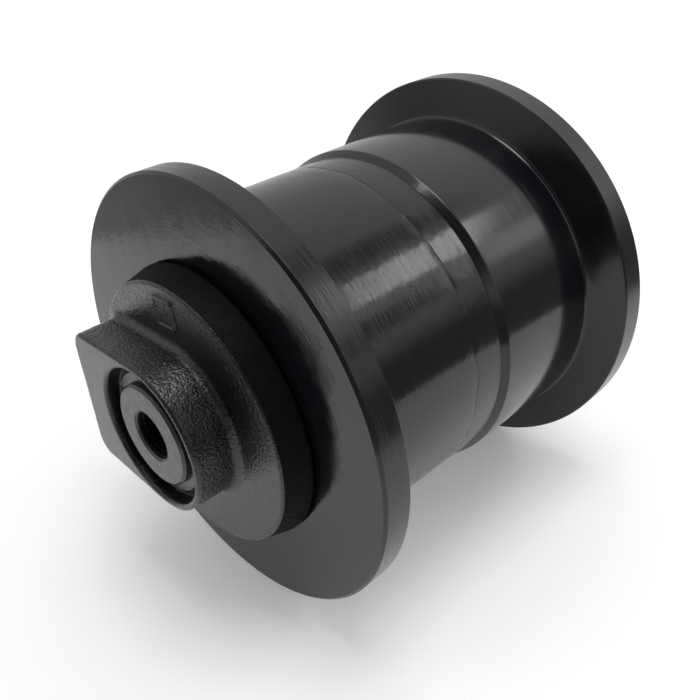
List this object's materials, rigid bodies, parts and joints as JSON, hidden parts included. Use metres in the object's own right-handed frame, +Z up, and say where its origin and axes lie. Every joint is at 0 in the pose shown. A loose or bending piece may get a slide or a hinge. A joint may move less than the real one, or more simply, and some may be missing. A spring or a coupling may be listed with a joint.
{
  "type": "track roller",
  "caption": "Flanged track roller with a stepped tread, turning on a fixed shaft with tapped ends under cast end collars with flats.",
  "frame": {"origin": "the roller's centre, on its axis and halfway between the ends", "axes": "+Y along the axis towards the rear end, +Z up, and the flats on the collars face -X"},
  "size_m": [0.165, 0.204, 0.165],
  "materials": {
    "shell_paint": "gloss black enamel over turned steel",
    "weld_paint": "gloss black enamel over a dressed weld",
    "collar_paint": "gloss black enamel over a rough casting",
    "shaft_steel": "thin black paint worn to turned steel",
    "plug_steel": "phosphated",
    "spring_steel": "oiled black spring steel",
    "seal_steel": "lapped",
    "bush_bronze": "bored bronze",
    "rubber": "matt black nitrile"
  },
  "bodies": {
    "axle": {"shaft": "shaft_steel", "oil_plug": "plug_steel", "front_collar": "collar_paint", "front_shaft_o_ring": "rubber", "front_retaining_ring": "spring_steel", "front_fixed_seal_ring": "seal_steel", "front_fixed_toric": "rubber", "rear_collar": "collar_paint", "rear_shaft_o_ring": "rubber", "rear_retaining_ring": "spring_steel", "rear_fixed_seal_ring": "seal_steel", "rear_fixed_toric": "rubber"},
    "roller": {"shell_front_half": "shell_paint", "shell_rear_half": "shell_paint", "shell_weld": "weld_paint", "front_bush": "bush_bronze", "front_rotating_seal_ring": "seal_steel", "front_rotating_toric": "rubber", "rear_bush": "bush_bronze", "rear_rotating_seal_ring": "seal_steel", "rear_rotating_toric": "rubber"}
  },
  "joints": [
    {"name": "roller_spin", "type": "hinge", "parent": "axle", "child": "roller", "pos_m": [0, 0, 0], "axis": [0, 1, 0], "continuous": true}
  ]
}
